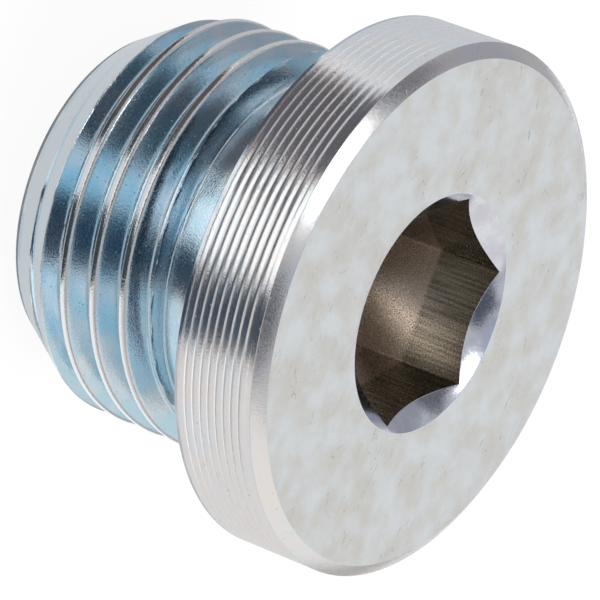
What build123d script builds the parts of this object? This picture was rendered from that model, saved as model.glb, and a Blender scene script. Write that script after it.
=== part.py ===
"""Hex socket plug with a flanged head, all lengths in millimetres.

One piece of zinc plated steel: a turned head whose flat underside seals, a
parallel pipe thread below it with a relief groove, and a hexagon socket sunk in
the top face. The plug stands on its thread end with its axis along +Z, and the
origin is the centre of the sealing face under the head.
"""

import os
from math import ceil, radians, tan

from build123d import *

# Head, from the sealing face at z = 0 up to the top face
HEAD_DIAMETER = 26.8
HEAD_HEIGHT = 5.0
TOP_CHAMFER_DEPTH = 0.46
TOP_CHAMFER_WIDTH = 0.7

# Feed marks that the turning tool left round the rim of the head
FEED_PITCH = 0.45
FEED_MARKS = 7
FEED_DEPTH = 0.05
FEED_START = 1.135

# Threaded shank, a G 1/2 parallel pipe thread with the flanks at 55 degrees
SHANK_LENGTH = 14.0
MAJOR_DIAMETER = 20.6
PITCH_DIAMETER = 19.6
THREAD_PITCH = 1.814
FLANK_HALF_ANGLE = 27.5
ROOT_WIDTH = 0.33
GROOVE_RUNOUT = 3.591  # from the sealing face down to where the groove ends, on the -X side

# Chamfer at the free end of the shank
END_DIAMETER = 16.5
END_CHAMFER_LENGTH = 3.5

# Neck and relief groove between the head and the thread
NECK_DIAMETER = 18.7
NECK_LENGTH = 2.95
RELIEF_DIAMETER = 17.95
RELIEF_TOP = 3.2
RELIEF_BOTTOM = 4.2
RELIEF_WALL_ANGLE = 72.0  # between the wall on the thread's side and the axis

# Hexagon socket with a countersunk mouth and a drill point below
SOCKET_ACROSS_FLATS = 10.0
SOCKET_DEPTH = 7.0
MOUTH_DIAMETER = 12.05
MOUTH_HALF_ANGLE = 52.0
DRILL_DIAMETER = 9.8
DRILL_HALF_ANGLE = 59.0

# How far a cutting shape reaches past the surface that it cuts
OVERLAP = 0.2

head_radius = HEAD_DIAMETER / 2
major_radius = MAJOR_DIAMETER / 2
pitch_radius = PITCH_DIAMETER / 2
neck_radius = NECK_DIAMETER / 2
relief_radius = RELIEF_DIAMETER / 2
end_radius = END_DIAMETER / 2
mouth_radius = MOUTH_DIAMETER / 2
drill_radius = DRILL_DIAMETER / 2

relief_wall_drop = (major_radius - relief_radius) / tan(radians(RELIEF_WALL_ANGLE))
cutter_radius = major_radius + OVERLAP
flank_slope = tan(radians(FLANK_HALF_ANGLE))
half_mouth = THREAD_PITCH / 4 + (cutter_radius - pitch_radius) * flank_slope
half_root = ROOT_WIDTH / 2
minor_radius = pitch_radius - (THREAD_PITCH / 4 - half_root) / flank_slope
groove_turns = ceil((SHANK_LENGTH - GROOVE_RUNOUT) / THREAD_PITCH)
socket_floor = HEAD_HEIGHT - SOCKET_DEPTH

# Rim of the head, one shallow V for each feed mark, from the lowest one up
rim = [(head_radius, FEED_START)]
for mark in range(FEED_MARKS):
    rim.append((head_radius - FEED_DEPTH, FEED_START + (mark + 0.5) * FEED_PITCH))
    rim.append((head_radius, FEED_START + (mark + 1) * FEED_PITCH))

with BuildPart() as plug:
    # Half section of the turned blank
    with BuildSketch(Plane.XZ):
        with BuildLine():
            Polyline(
                *rim,
                (head_radius, HEAD_HEIGHT - TOP_CHAMFER_DEPTH),
                (head_radius - TOP_CHAMFER_WIDTH, HEAD_HEIGHT),
                (0, HEAD_HEIGHT),
                (0, -SHANK_LENGTH),
                (end_radius, -SHANK_LENGTH),
                (major_radius, END_CHAMFER_LENGTH - SHANK_LENGTH),
                (major_radius, -RELIEF_BOTTOM - relief_wall_drop),
                (relief_radius, -RELIEF_BOTTOM),
                (relief_radius, -RELIEF_TOP),
                (neck_radius, -NECK_LENGTH),
                (neck_radius, 0),
                (head_radius, 0),
                close=True,
            )
        make_face()
    revolve(axis=Axis.Z)

    # Thread groove: a V with a narrow root on a right-hand helix, cut one turn at a
    # time from the relief groove down to below the free end
    with BuildPart(mode=Mode.PRIVATE) as groove:
        with BuildLine() as helix:
            Helix(THREAD_PITCH, THREAD_PITCH, pitch_radius)
        with BuildSketch(Plane.XZ):
            with BuildLine():
                Polyline(
                    (cutter_radius, -half_mouth),
                    (minor_radius, -half_root),
                    (minor_radius, half_root),
                    (cutter_radius, half_mouth),
                    close=True,
                )
            make_face()
        sweep(path=helix.line, is_frenet=True)
    for turn in range(1, groove_turns + 1):
        turn_start = -GROOVE_RUNOUT - turn * THREAD_PITCH
        with Locations(Location((0, 0, turn_start), (0, 0, 180))):
            add(groove.part, mode=Mode.SUBTRACT)

    # Hexagon socket with two corners on the X axis
    with BuildSketch(Plane.XY.offset(HEAD_HEIGHT)):
        RegularPolygon(SOCKET_ACROSS_FLATS / 2, 6, major_radius=False)
    extrude(amount=-SOCKET_DEPTH, mode=Mode.SUBTRACT)

    # Countersunk mouth above the flats, and the drill point under the socket
    with BuildSketch(Plane.XZ):
        with BuildLine():
            Polyline(
                (0, HEAD_HEIGHT),
                (mouth_radius, HEAD_HEIGHT),
                (0, HEAD_HEIGHT - mouth_radius / tan(radians(MOUTH_HALF_ANGLE))),
                close=True,
            )
        make_face()
        with BuildLine():
            Polyline(
                (0, socket_floor + OVERLAP),
                (drill_radius, socket_floor + OVERLAP),
                (drill_radius, socket_floor),
                (0, socket_floor - drill_radius / tan(radians(DRILL_HALF_ANGLE))),
                close=True,
            )
        make_face()
    revolve(axis=Axis.Z, mode=Mode.SUBTRACT)

plug.part.label = "plug"

os.makedirs("parts", exist_ok=True)
export_step(plug.part, "parts/plug.step")
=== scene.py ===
"""Looks of the hex socket plug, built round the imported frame.

The plug is one turned piece of zinc plated steel. Its mesh is made here from one
half section, with the thread on a true helix and the tool's feed marks round the
head. Lengths in the classes are millimetres, angles are degrees, and the mesh is
written in metres.
"""

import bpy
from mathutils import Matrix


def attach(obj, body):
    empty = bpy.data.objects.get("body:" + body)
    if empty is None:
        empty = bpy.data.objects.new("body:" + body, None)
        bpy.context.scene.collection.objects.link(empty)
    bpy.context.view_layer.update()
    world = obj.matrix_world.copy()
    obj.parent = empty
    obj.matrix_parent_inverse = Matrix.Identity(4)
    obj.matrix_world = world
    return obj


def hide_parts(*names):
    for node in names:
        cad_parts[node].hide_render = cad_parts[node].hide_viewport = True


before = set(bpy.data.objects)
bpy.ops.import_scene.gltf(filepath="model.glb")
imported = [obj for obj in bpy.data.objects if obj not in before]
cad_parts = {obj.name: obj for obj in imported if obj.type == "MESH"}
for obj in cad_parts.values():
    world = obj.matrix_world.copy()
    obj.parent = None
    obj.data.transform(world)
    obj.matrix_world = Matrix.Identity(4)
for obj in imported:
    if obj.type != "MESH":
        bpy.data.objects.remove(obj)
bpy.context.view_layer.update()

import logging
import math
from collections.abc import Callable, Iterable
from dataclasses import dataclass
from enum import Enum

import bpy
from mathutils import Matrix, Vector

MM = 0.001
FULL_TURN = 2 * math.pi

Point = tuple[float, float]
Colour = tuple[float, float, float]
Place = tuple[float, float, float]
Socketed = bpy.types.NodeSocket
Value = Socketed | float
Paint = Socketed | Colour

log = logging.getLogger("hex_socket_plug")


class Region(Enum):
    """Which part of the surface a face belongs to, and so which finish it takes."""

    FACE = 0
    RIM = 1
    SHANK = 2
    SOCKET = 3
    CONE = 4
    END = 5
    UNDER = 6


def direction(azimuth: float, elevation: float) -> Vector:
    """Unit vector towards an azimuth and an elevation.

    Args:
        azimuth: The angle from the X axis round the plug's axis, in degrees.
        elevation: The angle above the level, in degrees.

    Returns:
        The unit vector.
    """
    side, up = math.radians(azimuth), math.radians(elevation)
    return Vector((math.cos(side) * math.cos(up), math.sin(side) * math.cos(up), math.sin(up)))


def rounded(
    points: list[Point], radius: float, steps: int = 3, limit: float = 1 / 3
) -> list[Point]:
    """Rounds the inner corners of an open outline with short arcs.

    Args:
        points: The outline's corners as (radius, height) pairs.
        radius: The radius of each rounding, cut down where a side is too short.
        steps: How many straight pieces make one rounding.
        limit: The largest share of a side that one rounding may take.

    Returns:
        The outline's points with each inner corner replaced by an arc.
    """
    out = [points[0]]
    for before, corner, after in zip(points, points[1:], points[2:]):
        into = Vector(before) - Vector(corner)
        away = Vector(after) - Vector(corner)
        half_angle = into.angle(away) / 2
        longest = limit * min(into.length, away.length)
        reach = min(radius / math.tan(half_angle), longest)
        start = Vector(corner) + into.normalized() * reach
        end = Vector(corner) + away.normalized() * reach
        for step in range(steps + 1):
            share = step / steps
            first = start.lerp(Vector(corner), share)
            second = Vector(corner).lerp(end, share)
            out.append(tuple(first.lerp(second, share)))
    out.append(points[-1])
    return out


def refined(points: list[Point], step: float) -> list[Point]:
    """Divides the long sides of an open outline, so that no side is longer than a step.

    Args:
        points: The outline's corners.
        step: The longest side that stays whole.

    Returns:
        The corners with evenly spaced points added between them.
    """
    out = [points[0]]
    for first, second in zip(points, points[1:]):
        pieces = max(1, math.ceil(math.dist(first, second) / step))
        out += [tuple(Vector(first).lerp(Vector(second), i / pieces)) for i in range(1, pieces + 1)]
    return out


class Skin:
    """Collects the rings of points round the axis and the faces between them."""

    def __init__(self, columns: int) -> None:
        """Starts an empty skin.

        Args:
            columns: How many points one ring has.
        """
        self.columns = columns
        self.points: list[Place] = []
        self.faces: list[tuple[int, ...]] = []
        self.regions: list[Region] = []

    def angle(self, column: int) -> float:
        """Angle of a column round the axis, in radians."""
        return FULL_TURN * column / self.columns

    def add_point(self, angle: float, radius: float, height: float) -> int:
        """Adds one point, given in millimetres round the axis, and returns its index."""
        across, along = radius * math.cos(angle), radius * math.sin(angle)
        self.points.append((across * MM, along * MM, height * MM))
        return len(self.points) - 1

    def ring(self, at: Callable[[float], Point]) -> list[int]:
        """Adds a ring whose (radius, height) may change with the angle."""
        return [self.add_point(self.angle(c), *at(self.angle(c))) for c in range(self.columns)]

    def circle(self, point: Point) -> list[int]:
        """Adds a ring with the same radius and height all round."""
        return self.ring(lambda angle: point)

    def add_face(self, corners: Iterable[int], region: Region) -> None:
        """Adds a face after dropping repeated corners, and skips one that has collapsed.

        Args:
            corners: The indices of the corners, in order.
            region: Which part of the surface the face belongs to.
        """
        kept = list(dict.fromkeys(corners))
        if len(kept) > 2:
            self.faces.append(tuple(kept))
            self.regions.append(region)

    def band(self, upper: list[int], lower: list[int], region: Region) -> None:
        """Joins two rings with faces.

        Args:
            upper: The first ring's indices.
            lower: The second ring's indices.
            region: Which part of the surface the faces belong to.
        """
        for c in range(self.columns):
            after = (c + 1) % self.columns
            self.add_face((upper[c], lower[c], lower[after], upper[after]), region)

    def fan(self, ring: list[int], height: float, region: Region, upward: bool) -> None:
        """Closes a ring with triangles that meet on the axis.

        Args:
            ring: The ring's indices.
            height: Where the triangles meet, in millimetres.
            region: Which part of the surface the faces belong to.
            upward: Whether the faces look up.
        """
        middle = self.add_point(0.0, 0.0, height)
        for c in range(self.columns):
            after = (c + 1) % self.columns
            corners = (ring[c], ring[after], middle) if upward else (ring[after], ring[c], middle)
            self.add_face(corners, region)

    def to_object(self, name: str, sharp_angle: float) -> bpy.types.Object:
        """Makes the mesh object, smooth apart from edges sharper than an angle.

        Args:
            name: The new object's name.
            sharp_angle: Edges that turn more than this, in degrees, stay sharp.

        Returns:
            The linked object, with one material index for each region.
        """
        mesh = bpy.data.meshes.new(name)
        mesh.from_pydata(self.points, [], self.faces)
        mesh.polygons.foreach_set("material_index", [r.value for r in self.regions])
        mesh.polygons.foreach_set("use_smooth", [True] * len(self.faces))
        mesh.validate()
        mesh.update()
        mesh.set_sharp_from_angle(angle=math.radians(sharp_angle))
        piece = bpy.data.objects.new(name, mesh)
        bpy.context.scene.collection.objects.link(piece)
        weights = piece.modifiers.new("even_normals", "WEIGHTED_NORMAL")
        weights.keep_sharp = True
        return piece


@dataclass
class Socket:
    """Hexagon socket with two corners on the X axis, a countersunk mouth and a drill point."""

    top: float = 5.0
    across_flats: float = 10.0
    depth: float = 7.0
    mouth_radius: float = 6.025
    mouth_half_angle: float = 52.0
    drill_radius: float = 4.9
    drill_half_angle: float = 59.0
    edge_radius: float = 0.07
    cone_rows: int = 5
    face_margin: float = 0.5
    tip_radius: float = 0.2

    def wall_radius(self, angle: float) -> float:
        """Distance from the axis to the socket's wall at an angle, in millimetres."""
        off_middle = angle % (FULL_TURN / 6) - FULL_TURN / 12
        return self.across_flats / 2 / math.cos(off_middle)

    def section(self, angle: float) -> list[Point]:
        """Half section of the socket at an angle, from its mouth down to the drill's tip.

        Args:
            angle: Where the section stands round the axis, in radians.

        Returns:
            The section's (radius, height) pairs.
        """
        wall = self.wall_radius(angle)
        slope = math.tan(math.radians(self.mouth_half_angle))
        edge = self.top - (self.mouth_radius - wall) / slope
        floor = self.top - self.depth
        drill_slope = math.tan(math.radians(self.drill_half_angle))
        outline = [
            (self.mouth_radius + self.face_margin, self.top),
            (self.mouth_radius, self.top),
            (wall, edge),
            (wall, floor),
            (self.drill_radius, floor),
            (self.tip_radius, floor - (self.drill_radius - self.tip_radius) / drill_slope),
        ]
        return rounded(outline, self.edge_radius)

    def build(self, skin: Skin) -> list[int]:
        """Adds the socket's faces.

        Args:
            skin: The skin that takes the points and faces.

        Returns:
            The ring on the head's face just outside the mouth.
        """
        sections = [self.section(skin.angle(c)) for c in range(skin.columns)]
        rings = []
        for row in range(len(sections[0])):
            rings.append(
                [skin.add_point(skin.angle(c), *sections[c][row]) for c in range(skin.columns)]
            )
        for row, (upper, lower) in enumerate(zip(rings, rings[1:])):
            if row == 0:
                region = Region.FACE
            elif row <= self.cone_rows:
                region = Region.CONE
            else:
                region = Region.SOCKET
            skin.band(upper, lower, region)
        skin.fan(rings[-1], sections[0][-1][1], Region.SOCKET, upward=True)
        return rings[0]


@dataclass
class Head:
    """Flanged head: flat face, top chamfer, rim with feed marks and a flat underside."""

    radius: float = 13.4
    height: float = 5.0
    chamfer_depth: float = 0.46
    chamfer_width: float = 0.7
    under_chamfer: float = 0.08
    edge_radius: float = 0.05
    first_mark: float = 0.235
    feed_pitch: float = 0.45
    feed_marks: int = 9
    feed_depth: float = 0.046
    feed_steps: int = 6
    neck_radius: float = 9.35
    root_radius: float = 0.2
    face_margin: float = 1.0
    face_rows: int = 3
    rim_lead: float = 0.06
    neck_lead: float = 1.0

    def rim(self) -> list[Point]:
        """Section of the rim from the chamfer down, one hollow for each feed mark.

        Returns:
            The section's (radius, height) pairs.
        """
        points = [(self.radius, self.height - self.chamfer_depth)]
        for mark in reversed(range(self.feed_marks)):
            base = self.first_mark + mark * self.feed_pitch
            for step in range(self.feed_steps):
                share = step / self.feed_steps
                # A parabola, as deep as feed_depth in the middle of the mark
                hollow = self.feed_depth * 4 * share * (1 - share)
                points.append((self.radius - hollow, base + self.feed_pitch * (1 - share)))
        points.append((self.radius, self.first_mark))
        return points

    def build(self, skin: Skin, inner: list[int]) -> list[int]:
        """Adds the head's faces.

        Args:
            skin: The skin that takes the points and faces.
            inner: The ring on the face just outside the socket's mouth.

        Returns:
            The ring on the neck just below the underside.
        """
        top = self.height - self.chamfer_depth
        edge = rounded(
            [
                (self.radius - self.chamfer_width - self.face_margin, self.height),
                (self.radius - self.chamfer_width, self.height),
                (self.radius, top),
                (self.radius, top - self.rim_lead),
            ],
            self.edge_radius,
        )
        rings = [inner] + [skin.circle(point) for point in edge]
        for row, (upper, lower) in enumerate(zip(rings, rings[1:])):
            skin.band(upper, lower, Region.FACE if row < self.face_rows else Region.RIM)
        last = rings[-1]
        for point in self.rim()[1:]:
            ring = skin.circle(point)
            skin.band(last, ring, Region.RIM)
            last = ring
        under = rounded(
            [
                (self.radius, self.under_chamfer),
                (self.radius - self.under_chamfer, 0.0),
                (self.neck_radius, 0.0),
                (self.neck_radius, -self.neck_lead),
            ],
            self.root_radius,
        )
        for point in under:
            ring = skin.circle(point)
            skin.band(last, ring, Region.UNDER)
            last = ring
        return last


@dataclass
class Shank:
    """Threaded shank with its neck, relief groove and end chamfer."""

    length: float = 14.0
    crest_radius: float = 10.3
    pitch_radius: float = 9.8
    root_width: float = 0.33
    pitch: float = 1.814
    flank_half_angle: float = 27.5
    crest_at_x: float = -5.405
    form_rounding: float = 0.24
    form_steps: int = 4
    form_limit: float = 0.8
    row_step: float = 0.075
    neck_radius: float = 9.35
    neck_end: float = 2.95
    relief_radius: float = 8.975
    relief_top: float = 3.2
    relief_bottom: float = 4.2
    wall_angle: float = 72.0
    foot_fillet: float = 0.16
    end_radius: float = 8.25
    end_chamfer: float = 3.5
    end_rounding: float = 0.12
    end_band: float = 0.6
    end_margin: float = 1.0
    blend: float = 0.02
    blend_reach: float = 20.0
    clearance: float = 0.05

    def outline(self) -> list[Point]:
        """Half section of the turned blank, from the free end up.

        Returns:
            The section as (height, radius) pairs.
        """
        outer = self.crest_radius + self.clearance
        wall_drop = (outer - self.relief_radius) / math.tan(math.radians(self.wall_angle))
        corners = [
            (-self.length, self.end_radius),
            (self.end_chamfer - self.length, outer),
            (-self.relief_bottom - wall_drop, outer),
            (-self.relief_bottom, self.relief_radius),
            (-self.relief_top, self.relief_radius),
            (-self.neck_end, self.neck_radius),
            (0.0, self.neck_radius),
        ]
        foot = rounded(corners[2:5], self.foot_fillet, steps=self.form_steps)
        return corners[:2] + foot + corners[5:]

    def envelope(self, height: float) -> float:
        """Radius of the turned blank at a height, before the thread is cut.

        Args:
            height: The height in millimetres.

        Returns:
            The radius in millimetres.
        """
        outline = self.outline()
        for (low, first), (high, second) in zip(outline, outline[1:]):
            if height <= high:
                return first + (second - first) * (height - low) / (high - low)
        return self.neck_radius

    def thread_section(self) -> list[Point]:
        """One pitch of the thread, from one crest's middle up.

        Returns:
            The section as (radius, rise) pairs.
        """
        slope = math.tan(math.radians(self.flank_half_angle))
        half_root = self.root_width / 2
        half_crest = self.pitch / 4 - (self.crest_radius - self.pitch_radius) * slope
        root_radius = self.pitch_radius - (self.pitch / 4 - half_root) / slope
        crest = rounded(
            [
                (self.crest_radius, 0.0),
                (self.crest_radius, half_crest),
                (root_radius, self.pitch / 2 - half_root),
                (root_radius, self.pitch / 2),
            ],
            self.form_rounding,
            steps=self.form_steps,
            limit=self.form_limit,
        )
        mirrored = [(radius, self.pitch - rise) for radius, rise in reversed(crest)]
        return refined(crest + mirrored[1:], self.row_step)[:-1]

    def soft_min(self, first: float, second: float) -> float:
        """The smaller of two radii, blended where they are nearly equal.

        Args:
            first: One radius.
            second: The other radius.

        Returns:
            The blended radius, never more than the smaller one.
        """
        gap = (first - second) / self.blend
        if abs(gap) > self.blend_reach:
            return min(first, second)
        return first - self.blend * math.log(1 + math.exp(gap))

    def column(self, angle: float, section: list[Point], turns: range) -> list[Point]:
        """Points of one column of the thread, from the free end up.

        Args:
            angle: Where the column stands round the axis, in radians.
            section: One pitch of the thread, from thread_section.
            turns: The turns to go through, counted from the crest at crest_at_x.

        Returns:
            The points as (radius, height) pairs, with rows moved onto the blank's corners.
        """
        start = self.crest_at_x + self.pitch * angle / FULL_TURN
        rows = [
            (radius, start + turn * self.pitch + rise) for turn in turns for radius, rise in section
        ]
        for corner, _ in self.outline()[1:3]:
            nearest = min(range(len(rows)), key=lambda row: abs(rows[row][1] - corner))
            if abs(rows[nearest][1] - corner) < self.row_step:
                rows[nearest] = (rows[nearest][0], corner)
        return [(self.soft_min(radius, self.envelope(height)), height) for radius, height in rows]

    def build(self, skin: Skin, neck: list[int]) -> None:
        """Adds the shank's faces down to the flat end.

        Args:
            skin: The skin that takes the points and faces.
            neck: The ring on the neck just below the head.
        """
        low, high = self.end_band - self.length, -self.relief_bottom + self.foot_fillet
        upper = [point for point in self.outline() if point[0] > high and point[0] < 0]
        last = neck
        for height, radius in reversed(upper):
            ring = skin.circle((radius, height))
            skin.band(last, ring, Region.SHANK)
            last = ring
        top_ring = skin.circle((self.envelope(high), high))
        skin.band(last, top_ring, Region.SHANK)
        low_ring = skin.circle((self.envelope(low), low))
        section = self.thread_section()
        first_turn = math.floor((low - self.crest_at_x) / self.pitch) - 1
        last_turn = math.ceil((high - self.crest_at_x) / self.pitch) + 1
        turns = range(first_turn, last_turn)
        columns: list[list[int]] = []
        for c in range(skin.columns):
            indices = []
            for radius, height in self.column(skin.angle(c), section, turns):
                if height <= low:
                    indices.append(low_ring[c])
                elif height >= high:
                    indices.append(top_ring[c])
                else:
                    indices.append(skin.add_point(skin.angle(c), radius, height))
            columns.append(indices)
        rows = len(section)
        columns.append(columns[0][rows:] + [top_ring[0]] * rows)
        for here, beside in zip(columns, columns[1:]):
            for row in range(len(here) - 1):
                corners = (here[row + 1], here[row], beside[row], beside[row + 1])
                skin.add_face(corners, Region.SHANK)
        end = rounded(
            [
                (self.envelope(low), low),
                (self.end_radius, -self.length),
                (self.end_radius - self.end_margin, -self.length),
            ],
            self.end_rounding,
        )
        last = low_ring
        for point in end[1:]:
            ring = skin.circle(point)
            skin.band(last, ring, Region.END)
            last = ring
        skin.fan(last, -self.length, Region.END, upward=False)


class Graph:
    """A node tree with short ways to add nodes and join them."""

    def __init__(self, tree: bpy.types.NodeTree) -> None:
        """Keeps the tree that the nodes go into."""
        self.tree = tree

    def node(self, kind: str, **settings: str | bpy.types.NodeTree) -> bpy.types.Node:
        """Adds a node and sets its properties.

        Args:
            kind: The node's type without its ShaderNode prefix.
            settings: The properties to set.

        Returns:
            The new node.
        """
        made = self.tree.nodes.new(f"ShaderNode{kind}")
        for name, value in settings.items():
            setattr(made, name, value)
        return made

    def feed(self, target: Socketed, value: Value | tuple[float, ...]) -> None:
        """Links a socket, or sets the target to a plain value.

        Args:
            target: The input that takes the value.
            value: An output to link, or the plain value.
        """
        if isinstance(value, Socketed):
            self.tree.links.new(value, target)
        else:
            target.default_value = value

    def math(self, operation: str, first: Value, second: Value = 0.0) -> Socketed:
        """Adds a Math node.

        Args:
            operation: The node's operation.
            first: The first operand.
            second: The second operand, where the operation has one.

        Returns:
            The node's result.
        """
        made = self.node("Math", operation=operation)
        self.feed(made.inputs[0], first)
        self.feed(made.inputs[1], second)
        return made.outputs[0]

    def spread(self, value: Value, low: Value, high: Value, start: Value, end: Value) -> Socketed:
        """Maps a value smoothly from one range to another.

        Args:
            value: The value to map.
            low: Where the first range starts.
            high: Where the first range ends.
            start: Where the second range starts.
            end: Where the second range ends.

        Returns:
            The mapped value.
        """
        made = self.node("MapRange", interpolation_type="SMOOTHSTEP")
        names = ("Value", "From Min", "From Max", "To Min", "To Max")
        for name, entry in zip(names, (value, low, high, start, end)):
            self.feed(made.inputs[name], entry)
        return made.outputs["Result"]

    def blend(self, factor: Value, first: Paint, second: Paint) -> Socketed:
        """Mixes two colours.

        Args:
            factor: The second colour's share, from 0 to 1.
            first: The first colour.
            second: The second colour.

        Returns:
            The mixed colour.
        """
        made = self.node("Mix", data_type="RGBA")
        self.feed(made.inputs["Factor"], factor)
        for name, entry in (("A", first), ("B", second)):
            self.feed(made.inputs[name], (*entry, 1.0) if isinstance(entry, tuple) else entry)
        return made.outputs["Result"]

    def noise(
        self, vector: Socketed, scale: Value, detail: float, distortion: float = 0.0
    ) -> Socketed:
        """Adds a noise texture.

        Args:
            vector: Where on the piece the noise is read.
            scale: How many swings one metre holds.
            detail: How many finer layers are added.
            distortion: How far the pattern is bent.

        Returns:
            The noise's value.
        """
        made = self.node("TexNoise")
        self.feed(made.inputs["Vector"], vector)
        self.feed(made.inputs["Scale"], scale)
        made.inputs["Detail"].default_value = detail
        made.inputs["Distortion"].default_value = distortion
        return made.outputs["Fac"]

    def stretched(self, stretch: Place) -> Socketed:
        """Adds the object's own coordinates, scaled along each axis.

        Args:
            stretch: The scale along X, Y and Z.

        Returns:
            The scaled coordinates.
        """
        place = self.node("TexCoord")
        scaled = self.node("Mapping")
        scaled.inputs["Scale"].default_value = stretch
        self.feed(scaled.inputs["Vector"], place.outputs["Object"])
        return scaled.outputs["Vector"]

    def place_in_mm(self) -> tuple[Socketed, Socketed]:
        """Adds nodes that give a point's place in millimetres.

        Returns:
            The distance from the axis, and the height.
        """
        split = self.node("SeparateXYZ")
        self.feed(split.inputs["Vector"], self.stretched((1 / MM, 1 / MM, 1 / MM)))
        across, along = split.outputs["X"], split.outputs["Y"]
        across_squared = self.math("MULTIPLY", across, across)
        along_squared = self.math("MULTIPLY", along, along)
        squares = self.math("ADD", across_squared, along_squared)
        return self.math("SQRT", squares), split.outputs["Z"]


class Effect(Enum):
    """Surface effects that several finishes share, each one node group."""

    MOTTLE = "plating_mottle"
    GRAIN = "plating_grain"
    SCRATCHES = "handling_scratches"
    SPECKS = "dust_specks"


class EffectShelf:
    """Makes each shared node group once and places it in the materials."""

    EVEN = (1.0, 1.0, 1.0)
    MIDDLE = 0.5
    MOTTLE_DETAIL = 5.0
    GRAIN_DETAIL = 3.0
    GRAIN_RANGE = (0.3, 0.7)
    LINE_STRETCH = (0.25, 1.0, 1.0)
    LINE_DETAIL = 2.0
    LINE_WAVE = 0.8
    LINE_BREAKS = 0.7
    LINE_RANGE = (0.48, 0.62)
    SPECK_CLUSTERS = 0.35
    SPECK_RANGE = (0.52, 0.64)
    CLUSTER_DETAIL = 1.0

    def __init__(self) -> None:
        """Makes every group."""
        makers = {
            Effect.MOTTLE: self.fill_mottle,
            Effect.GRAIN: self.fill_grain,
            Effect.SCRATCHES: self.fill_scratches,
            Effect.SPECKS: self.fill_specks,
        }
        self.groups: dict[Effect, bpy.types.NodeTree] = {}
        for effect, fill in makers.items():
            tree = bpy.data.node_groups.new(effect.value, "ShaderNodeTree")
            tree.interface.new_socket("Scale", in_out="INPUT", socket_type="NodeSocketFloat")
            tree.interface.new_socket("Spread", in_out="INPUT", socket_type="NodeSocketFloat")
            tree.interface.new_socket("Mask", in_out="OUTPUT", socket_type="NodeSocketFloat")
            graph = Graph(tree)
            source = tree.nodes.new("NodeGroupInput")
            result = tree.nodes.new("NodeGroupOutput")
            mask = fill(graph, source.outputs["Scale"], source.outputs["Spread"])
            graph.feed(result.inputs["Mask"], mask)
            self.groups[effect] = tree

    @classmethod
    def fill_mottle(cls, graph: Graph, scale: Value, spread: Value) -> Socketed:
        """Soft patches that are harder edged where the spread is small.

        Args:
            graph: The group's node tree.
            scale: How many patches one metre holds.
            spread: Half the width of the patches' edges.

        Returns:
            The patches' mask, from 0 to 1.
        """
        patches = graph.noise(graph.stretched(cls.EVEN), scale, cls.MOTTLE_DETAIL)
        low = graph.math("SUBTRACT", cls.MIDDLE, spread)
        high = graph.math("ADD", cls.MIDDLE, spread)
        return graph.spread(patches, low, high, 0.0, 1.0)

    @classmethod
    def fill_grain(cls, graph: Graph, scale: Value, spread: Value) -> Socketed:
        """Fine even grain round one half.

        Args:
            graph: The group's node tree.
            scale: How many grains one metre holds.
            spread: How far the grain swings.

        Returns:
            The grain's height.
        """
        fine = graph.noise(graph.stretched(cls.EVEN), scale, cls.GRAIN_DETAIL)
        low = graph.math("SUBTRACT", cls.MIDDLE, spread)
        high = graph.math("ADD", cls.MIDDLE, spread)
        return graph.spread(fine, *cls.GRAIN_RANGE, low, high)

    @classmethod
    def fill_scratches(cls, graph: Graph, scale: Value, spread: Value) -> Socketed:
        """Thin wavy lines, drawn where a long stretched noise crosses its middle value.

        Args:
            graph: The group's node tree.
            scale: How many swings of the lines one metre holds.
            spread: How wide the lines are.

        Returns:
            The lines' mask, from 0 to 1.
        """
        long_noise = graph.noise(
            graph.stretched(cls.LINE_STRETCH), scale, cls.LINE_DETAIL, cls.LINE_WAVE
        )
        distance = graph.math("ABSOLUTE", graph.math("SUBTRACT", long_noise, cls.MIDDLE))
        line = graph.spread(distance, 0.0, spread, 1.0, 0.0)
        place = graph.stretched(cls.EVEN)
        breaks = graph.math("MULTIPLY", scale, cls.LINE_BREAKS)
        broken = graph.noise(place, breaks, cls.CLUSTER_DETAIL)
        return graph.math("MULTIPLY", line, graph.spread(broken, *cls.LINE_RANGE, 0.0, 1.0))

    @classmethod
    def fill_specks(cls, graph: Graph, scale: Value, spread: Value) -> Socketed:
        """Small round specks scattered over the surface.

        Args:
            graph: The group's node tree.
            scale: How many cells one metre holds, each with one speck at most.
            spread: How wide the specks are.

        Returns:
            The specks' mask, from 0 to 1.
        """
        cells = graph.node("TexVoronoi")
        graph.feed(cells.inputs["Vector"], graph.stretched(cls.EVEN))
        graph.feed(cells.inputs["Scale"], scale)
        dots = graph.spread(cells.outputs["Distance"], 0.0, spread, 1.0, 0.0)
        place = graph.stretched(cls.EVEN)
        clusters = graph.math("MULTIPLY", scale, cls.SPECK_CLUSTERS)
        some = graph.noise(place, clusters, cls.CLUSTER_DETAIL)
        return graph.math("MULTIPLY", dots, graph.spread(some, *cls.SPECK_RANGE, 0.0, 1.0))

    def place(self, graph: Graph, effect: Effect, size: float, spread: float) -> Socketed:
        """Puts an effect into a material.

        Args:
            graph: The material's node tree.
            effect: Which group to place.
            size: The effect's grain in millimetres.
            spread: How wide or strong it is.

        Returns:
            The effect's mask.
        """
        made = graph.node("Group", node_tree=self.groups[effect])
        made.inputs["Scale"].default_value = 1 / (size * MM)
        made.inputs["Spread"].default_value = spread
        return made.outputs["Mask"]


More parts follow.
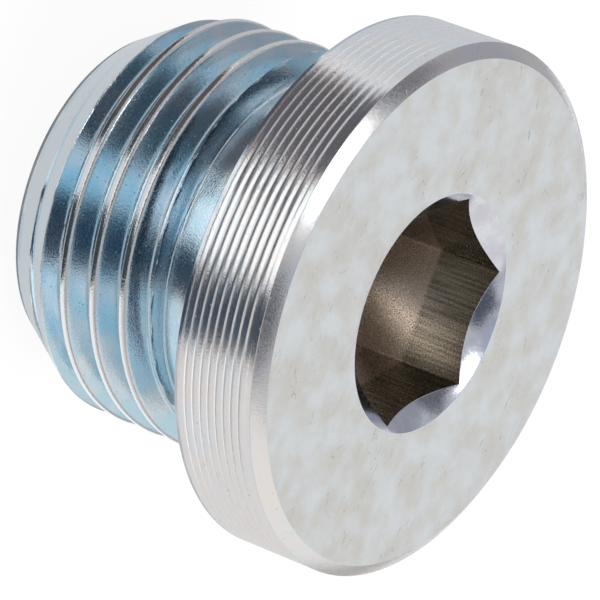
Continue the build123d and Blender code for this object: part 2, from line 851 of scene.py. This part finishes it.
@dataclass(frozen=True)
class ZincFinish:
    """Zinc plating on one part of the plug."""

    name: str
    colour: Colour
    tint: Colour
    mottle_size: float
    mottle_spread: float
    roughness: float
    gloss_spread: float
    grain_size: float
    grain_height: float
    grime: Colour
    grime_share: float
    scratch_size: float = 1.1
    scratch_width: float = 0.006
    speck_size: float = 0.5
    speck_width: float = 0.2
    speck_roughness: float = 0.6
    grain_swing: float = 0.5
    mark_depth: float = 0.5

    def material(self, shelf: EffectShelf) -> bpy.types.Material:
        """Makes the material: a metal with patchy plating, grain, scratches and specks.

        Args:
            shelf: The shared node groups.

        Returns:
            The material.
        """
        made = bpy.data.materials.new(self.name)
        made.use_nodes = True
        graph = Graph(made.node_tree)
        shader = made.node_tree.nodes["Principled BSDF"]
        shader.inputs["Metallic"].default_value = 1.0
        patches = shelf.place(graph, Effect.MOTTLE, self.mottle_size, self.mottle_spread)
        grain = shelf.place(graph, Effect.GRAIN, self.grain_size, self.grain_swing)
        lines = shelf.place(graph, Effect.SCRATCHES, self.scratch_size, self.scratch_width)
        specks = shelf.place(graph, Effect.SPECKS, self.speck_size, self.speck_width)
        marks = graph.math("MAXIMUM", lines, specks)
        plating = graph.blend(patches, self.colour, self.tint)
        # Wear changes the plating's colour here. Under the head this adds painted shade, and in the
        # socket it adds a painted reflection.
        plating = self.wear_and_painted_light(graph, plating)
        share = graph.math("MULTIPLY", marks, self.grime_share)
        graph.feed(shader.inputs["Base Color"], graph.blend(share, plating, self.grime))
        low, high = self.roughness - self.gloss_spread, self.roughness + self.gloss_spread
        gloss = graph.spread(grain, 0.0, 1.0, low, high)
        dull = graph.math("MULTIPLY", specks, self.speck_roughness)
        graph.feed(shader.inputs["Roughness"], graph.math("MAXIMUM", gloss, dull))
        height = graph.math("SUBTRACT", grain, graph.math("MULTIPLY", marks, self.mark_depth))
        bump = graph.node("Bump")
        bump.inputs["Distance"].default_value = self.grain_height * MM
        graph.feed(bump.inputs["Height"], height)
        graph.feed(shader.inputs["Normal"], bump.outputs["Normal"])
        return made

    def wear_and_painted_light(self, graph: Graph, plating: Socketed) -> Socketed:
        """The plating's colour after wear and painted light, here unchanged."""
        return plating


@dataclass(frozen=True)
class ThreadFinish(ZincFinish):
    """Bluish plating of the thread, rubbed to plain grey on the crests and the end chamfer."""

    rubbed: Colour = (0.70, 0.69, 0.68)
    rub_start: float = 10.16
    rub_end: float = 10.29
    chamfer_colour: Colour = (0.74, 0.77, 0.79)
    chamfer_slope: float = 0.6
    chamfer_start: float = 16.65
    chamfer_fade: float = 0.12

    def wear_and_painted_light(self, graph: Graph, plating: Socketed) -> Socketed:
        """The plating's colour with the crests and the end chamfer rubbed.

        Args:
            graph: The material's node tree.
            plating: The plating's colour before wear.

        Returns:
            The worn colour.
        """
        radius, height = graph.place_in_mm()
        crest = graph.spread(radius, self.rub_start, self.rub_end, 0.0, 1.0)
        rise = graph.math("MULTIPLY", height, self.chamfer_slope)
        cone = graph.math("ADD", rise, self.chamfer_start)
        depth = graph.math("SUBTRACT", cone, radius)
        turned = graph.spread(depth, 0.0, self.chamfer_fade, 1.0, 0.0)
        return graph.blend(turned, graph.blend(crest, plating, self.rubbed), self.chamfer_colour)


@dataclass(frozen=True)
class UndersideShadedFinish(ZincFinish):
    """Plating under the head, with a dull, dark ring of painted shade where it meets the neck."""

    shade: Colour = (0.06, 0.09, 0.12)
    shade_end: float = 10.5
    unshaded_start: float = 11.5

    def wear_and_painted_light(self, graph: Graph, plating: Socketed) -> Socketed:
        """The plating's colour with a ring of painted shade round the neck.

        Args:
            graph: The material's node tree.
            plating: The plating's colour before wear.

        Returns:
            The colour with the painted shade ring.
        """
        radius, _ = graph.place_in_mm()
        # Painted shade: the plating darkens towards the neck, under the head.
        unshaded = graph.spread(radius, self.shade_end, self.unshaded_start, 0.0, 1.0)
        return graph.blend(unshaded, self.shade, plating)


@dataclass(frozen=True)
class BroachedPaintedLightFinish(ZincFinish):
    """Plating in the socket, browner than the face's and painted darker as shade of the recess,
    with the broach's lines on the upper walls and a painted reflection lower down.
    """

    line_colour: Colour = (0.20, 0.19, 0.155)
    line_size: float = 0.13
    line_stretch: float = 0.03
    line_detail: float = 2.0
    line_start: float = 0.40
    line_end: float = 0.62
    line_share: float = 0.8
    # Colour of the painted reflection on the lower walls.
    painted_reflection_colour: Colour = (0.60, 0.535, 0.48)
    reflection_start: float = 1.15
    reflection_end: float = 1.45

    def wear_and_painted_light(self, graph: Graph, plating: Socketed) -> Socketed:
        """The plating's colour with lines along the axis and a lighter, browner painted reflection
        on the lower part.

        Args:
            graph: The material's node tree.
            plating: The plating's colour before wear.

        Returns:
            The colour with the lines and the painted reflection.
        """
        vector = graph.stretched((1.0, 1.0, self.line_stretch))
        lines = graph.noise(vector, 1 / (self.line_size * MM), self.line_detail)
        share = graph.spread(lines, self.line_start, self.line_end, 0.0, self.line_share)
        marked = graph.blend(share, plating, self.line_colour)
        _, height = graph.place_in_mm()
        # Painted reflection: the lower walls take a lighter, browner colour than the upper walls.
        upper = graph.spread(height, self.reflection_start, self.reflection_end, 0.0, 1.0)
        return graph.blend(upper, self.painted_reflection_colour, marked)


GREY_GRIME = (0.36, 0.35, 0.34)

FINISHES = {
    Region.FACE: ZincFinish(
        name="zinc_face", colour=(0.77, 0.79, 0.80), tint=(0.70, 0.675, 0.63),
        mottle_size=1.5, mottle_spread=0.2, roughness=0.36, gloss_spread=0.07,
        grain_size=0.12, grain_height=0.004, grime=(0.34, 0.33, 0.31), grime_share=0.5,
        scratch_size=1.0, scratch_width=0.007,
    ),
    Region.RIM: ZincFinish(
        name="zinc_rim", colour=(0.80, 0.82, 0.84), tint=(0.84, 0.80, 0.77),
        mottle_size=1.8, mottle_spread=0.2, roughness=0.19, gloss_spread=0.06,
        grain_size=0.07, grain_height=0.0022, grime=GREY_GRIME, grime_share=0.3,
        speck_size=0.28, speck_width=0.26,
    ),
    Region.SHANK: ThreadFinish(
        name="zinc_thread", colour=(0.50, 0.70, 0.81), tint=(0.66, 0.75, 0.81),
        mottle_size=2.6, mottle_spread=0.12, roughness=0.15, gloss_spread=0.07,
        grain_size=0.08, grain_height=0.0030, grime=(0.62, 0.74, 0.80), grime_share=0.6,
        speck_size=0.22, speck_width=0.34, speck_roughness=0.9,
    ),
    # The socket's colour is painted darker than the face's as shade of the recess. Its brown tone
    # is partly the plating's own.
    Region.SOCKET: BroachedPaintedLightFinish(
        name="zinc_socket", colour=(0.42, 0.40, 0.345), tint=(0.455, 0.415, 0.35),
        mottle_size=2.2, mottle_spread=0.2, roughness=0.26, gloss_spread=0.04,
        grain_size=0.10, grain_height=0.001, grime=(0.16, 0.13, 0.10), grime_share=0.4,
    ),
    Region.CONE: ZincFinish(
        name="zinc_countersink", colour=(0.74, 0.78, 0.84), tint=(0.64, 0.64, 0.72),
        mottle_size=1.2, mottle_spread=0.15, roughness=0.14, gloss_spread=0.05,
        grain_size=0.08, grain_height=0.001, grime=GREY_GRIME, grime_share=0.3,
    ),
    Region.END: ZincFinish(
        name="zinc_end", colour=(0.76, 0.79, 0.81), tint=(0.60, 0.66, 0.70),
        mottle_size=1.6, mottle_spread=0.14, roughness=0.20, gloss_spread=0.07,
        grain_size=0.12, grain_height=0.002, grime=GREY_GRIME, grime_share=0.4,
    ),
    # The underside's finish paints shade in a dark ring round the neck.
    Region.UNDER: UndersideShadedFinish(
        name="zinc_underside", colour=(0.62, 0.68, 0.72), tint=(0.52, 0.57, 0.62),
        mottle_size=1.5, mottle_spread=0.15, roughness=0.18, gloss_spread=0.06,
        grain_size=0.10, grain_height=0.0015, grime=GREY_GRIME, grime_share=0.4,
    ),
}


@dataclass
class PlugBody:
    """The whole turned piece: socket, head and shank in one closed skin."""

    columns: int = 288
    sharp_angle: float = 32.0

    def build(self) -> bpy.types.Object:
        """Makes the plug's mesh and gives each region its finish.

        Returns:
            The plug's object.
        """
        skin = Skin(self.columns)
        mouth = Socket().build(skin)
        neck = Head().build(skin, mouth)
        Shank().build(skin, neck)
        piece = skin.to_object("zinc_plug", self.sharp_angle)
        shelf = EffectShelf()
        for region in Region:
            piece.data.materials.append(FINISHES[region].material(shelf))
        return piece


@dataclass
class PhotoCamera:
    """Camera at the photograph's viewing angle, turned about its own axis as there."""

    aim: Place = (1.64, -0.08, -2.20)
    azimuth: float = -92.73
    elevation: float = 32.22
    distance: float = 280.1
    roll: float = -111.19
    lens: float = 347.5
    sensor: float = 36.0
    clip_start: float = 0.01
    clip_end: float = 10.0

    def build(self) -> bpy.types.Object:
        """Makes the camera and sets it as the scene's own.

        Returns:
            The camera.
        """
        back = direction(self.azimuth, self.elevation)
        level_right = Vector((0, 0, 1)).cross(back).normalized()
        level_up = back.cross(level_right)
        turn = math.radians(self.roll)
        right = level_right * math.cos(turn) - level_up * math.sin(turn)
        above = level_right * math.sin(turn) + level_up * math.cos(turn)
        data = bpy.data.cameras.new("photo_camera")
        data.lens = self.lens
        data.sensor_width = self.sensor
        data.clip_start, data.clip_end = self.clip_start, self.clip_end
        camera = bpy.data.objects.new("photo_camera", data)
        bpy.context.scene.collection.objects.link(camera)
        place = Matrix((right, above, back)).transposed().to_4x4()
        place.translation = (Vector(self.aim) + back * self.distance) * MM
        camera.matrix_world = place
        bpy.context.scene.camera = camera
        return camera


@dataclass(frozen=True)
class Lamp:
    """A soft square lamp that looks at the plug from a direction."""

    name: str
    azimuth: float
    elevation: float
    distance: float
    size: float
    power: float
    mirrored: bool = True

    def build(self) -> None:
        """Makes the lamp, which the metal mirrors only where mirrored is set."""
        back = direction(self.azimuth, self.elevation)
        data = bpy.data.lights.new(self.name, "AREA")
        data.shape = "SQUARE"
        data.size = self.size * MM
        data.energy = self.power
        lamp = bpy.data.objects.new(self.name, data)
        bpy.context.scene.collection.objects.link(lamp)
        lamp.location = back * self.distance * MM
        lamp.rotation_euler = back.to_track_quat("Z", "Y").to_euler()
        lamp.visible_glossy = self.mirrored


@dataclass(frozen=True)
class StudioCard:
    """A card near the plug that only its reflections show, such as a black flag."""

    name: str
    azimuth: float
    width: float
    lowest: float
    highest: float
    reach: float
    colour: Colour
    strength: float = 1.0
    steps: int = 24
    centre: float = -4.0
    lift: float = 0.3

    def build(self, floor: float) -> None:
        """Makes the card as a curved sheet that follows the floor where it is low.

        Args:
            floor: Height of the floor, in millimetres.
        """
        points: list[Place] = []
        faces: list[tuple[int, ...]] = []
        for row in range(self.steps + 1):
            elevation = self.lowest + (self.highest - self.lowest) * row / self.steps
            span = self.reach
            if elevation < 0:
                drop = floor + self.lift - self.centre
                span = min(span, drop / math.sin(math.radians(elevation)))
            for col in range(self.steps + 1):
                azimuth = self.azimuth + self.width * (col / self.steps - 0.5)
                ray = direction(azimuth, elevation)
                points.append(tuple((ray * span + Vector((0, 0, self.centre))) * MM))
        stride = self.steps + 1
        for row in range(self.steps):
            for col in range(self.steps):
                corner = row * stride + col
                faces.append((corner, corner + 1, corner + stride + 1, corner + stride))
        mesh = bpy.data.meshes.new(self.name)
        mesh.from_pydata(points, [], faces)
        card = bpy.data.objects.new(self.name, mesh)
        bpy.context.scene.collection.objects.link(card)
        made = bpy.data.materials.new(self.name)
        made.use_nodes = True
        made.node_tree.nodes.clear()
        glow = made.node_tree.nodes.new("ShaderNodeEmission")
        glow.inputs["Color"].default_value = (*self.colour, 1.0)
        glow.inputs["Strength"].default_value = self.strength
        out = made.node_tree.nodes.new("ShaderNodeOutputMaterial")
        made.node_tree.links.new(glow.outputs["Emission"], out.inputs["Surface"])
        mesh.materials.append(made)
        card.visible_camera = False
        card.visible_diffuse = False
        card.visible_shadow = False
        card.visible_transmission = False


@dataclass
class Studio:
    """Pale floor, white surround, soft lamps and the cards that the metal mirrors."""

    floor: float = -14.0
    floor_size: float = 4000.0
    near_side: float = -92.3
    floor_shade: float = 0.86
    floor_roughness: float = 0.9
    floor_white: float = 0.93
    surround: Colour = (0.95, 0.97, 1.0)
    surround_strength: float = 0.6

    def build_floor(self) -> None:
        """Makes the floor, which stays white to the camera and keeps the plug's shadow."""
        half = self.floor_size / 2 * MM
        level = self.floor * MM
        mesh = bpy.data.meshes.new("floor")
        square = ((-half, -half), (half, -half), (half, half), (-half, half))
        corners = [(across, along, level) for across, along in square]
        mesh.from_pydata(corners, [], [(0, 1, 2, 3)])
        floor = bpy.data.objects.new("floor", mesh)
        bpy.context.scene.collection.objects.link(floor)
        made = bpy.data.materials.new("floor_white")
        made.use_nodes = True
        nodes, links = made.node_tree.nodes, made.node_tree.links
        shader = nodes["Principled BSDF"]
        shader.inputs["Base Color"].default_value = (*(self.floor_shade,) * 3, 1.0)
        shader.inputs["Roughness"].default_value = self.floor_roughness
        shader.inputs["Specular IOR Level"].default_value = 0.0
        glow = nodes.new("ShaderNodeEmission")
        glow.inputs["Color"].default_value = (1.0, 1.0, 1.0, 1.0)
        path = nodes.new("ShaderNodeLightPath")
        share = nodes.new("ShaderNodeMath")
        share.operation = "MULTIPLY"
        share.inputs[1].default_value = self.floor_white
        links.new(path.outputs["Is Camera Ray"], share.inputs[0])
        mix = nodes.new("ShaderNodeMixShader")
        links.new(share.outputs["Value"], mix.inputs["Fac"])
        links.new(shader.outputs["BSDF"], mix.inputs[1])
        links.new(glow.outputs["Emission"], mix.inputs[2])
        links.new(mix.outputs["Shader"], nodes["Material Output"].inputs["Surface"])
        mesh.materials.append(made)

    def build_world(self) -> None:
        """Makes the pale surround, which only the camera sees as plain white."""
        world = bpy.data.worlds.new("studio")
        world.use_nodes = True
        nodes, links = world.node_tree.nodes, world.node_tree.links
        plain = nodes["Background"]
        plain.inputs["Color"].default_value = (*self.surround, 1.0)
        plain.inputs["Strength"].default_value = self.surround_strength
        white = nodes.new("ShaderNodeBackground")
        white.inputs["Color"].default_value = (1.0, 1.0, 1.0, 1.0)
        path = nodes.new("ShaderNodeLightPath")
        mix = nodes.new("ShaderNodeMixShader")
        links.new(path.outputs["Is Camera Ray"], mix.inputs["Fac"])
        links.new(plain.outputs["Background"], mix.inputs[1])
        links.new(white.outputs["Background"], mix.inputs[2])
        links.new(mix.outputs["Shader"], nodes["World Output"].inputs["Surface"])
        bpy.context.scene.world = world

    def build(self) -> None:
        """Makes the whole studio."""
        scene = bpy.context.scene
        scene.view_settings.view_transform = "Standard"
        self.build_floor()
        self.build_world()
        near = self.near_side
        Lamp("key_lamp", near - 72, 66, 400, 130, 0.2).build()
        Lamp("floor_lamp", near + 120, 72, 500, 320, 3.2, mirrored=False).build()
        # Each card: azimuth and width, lowest and highest elevation, reach, colour, strength
        for card in (
            StudioCard("floor_left", near - 128, 105, -39, -5, 90, (0.64, 0.67, 0.71)),
            StudioCard("flag_upper", near - 50, 44, -39, 0, 80, (0.12, 0.115, 0.13)),
            StudioCard("white_front", near - 8, 40, -21, -5, 90, (1.0, 1.0, 1.0), 1.25),
            StudioCard("foot_ring", near, 360, -50, -42, 90, (0.67, 0.71, 0.74)),
            StudioCard("near_flag_left", near - 21.5, 13, -42, -21, 90, (0.05, 0.07, 0.09)),
            StudioCard("near_white", near - 4.5, 21, -42, -21, 90, (0.86, 0.93, 1.0)),
            StudioCard("near_flag_right", near + 9, 6, -42, -21, 90, (0.05, 0.07, 0.09)),
            StudioCard("flag_lower", near + 25, 27, -39, 0, 80, (0.05, 0.07, 0.10)),
            StudioCard("floor_right", near + 110, 142, -24, -3, 90, (0.80, 0.79, 0.79)),
            StudioCard("floor_near_right", near + 110, 142, -42, -24, 90, (0.92, 0.96, 1.0), 1.25),
            StudioCard("horizon_left", near - 128, 105, -2, 14, 90, (0.42, 0.42, 0.44)),
            StudioCard("horizon_right", near + 110, 142, -2, 14, 90, (0.45, 0.44, 0.44)),
            StudioCard("flag_front", near - 8, 40, -4, 16, 90, (0.10, 0.10, 0.11)),
            StudioCard("flag_left_low", near - 132, 36, 14, 40, 120, (0.36, 0.36, 0.40)),
            StudioCard("flag_left_high", near - 98, 40, 36, 54, 120, (0.15, 0.15, 0.17)),
            StudioCard("flag_right_high", near + 38, 60, 58, 76, 120, (0.09, 0.10, 0.13)),
            StudioCard("light_right", near + 115, 80, 14, 58, 120, (0.90, 0.88, 0.86)),
            StudioCard("light_back", near + 180, 60, 5, 70, 125, (0.84, 0.86, 0.88)),
            StudioCard("sky_above", near, 360, 80, 90, 120, (0.42, 0.48, 0.58)),
        ):
            card.build(self.floor)


def main() -> None:
    """Builds the plug and its studio."""
    logging.basicConfig(level=logging.INFO, format="%(name)s: %(message)s")
    PhotoCamera().build()
    log.info("camera placed")
    piece = PlugBody().build()
    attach(piece, "root")
    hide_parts("plug")
    log.info("%s: %d faces", piece.name, len(piece.data.polygons))
    Studio().build()
    log.info("studio placed")


if __name__ == "__main__":
    main()
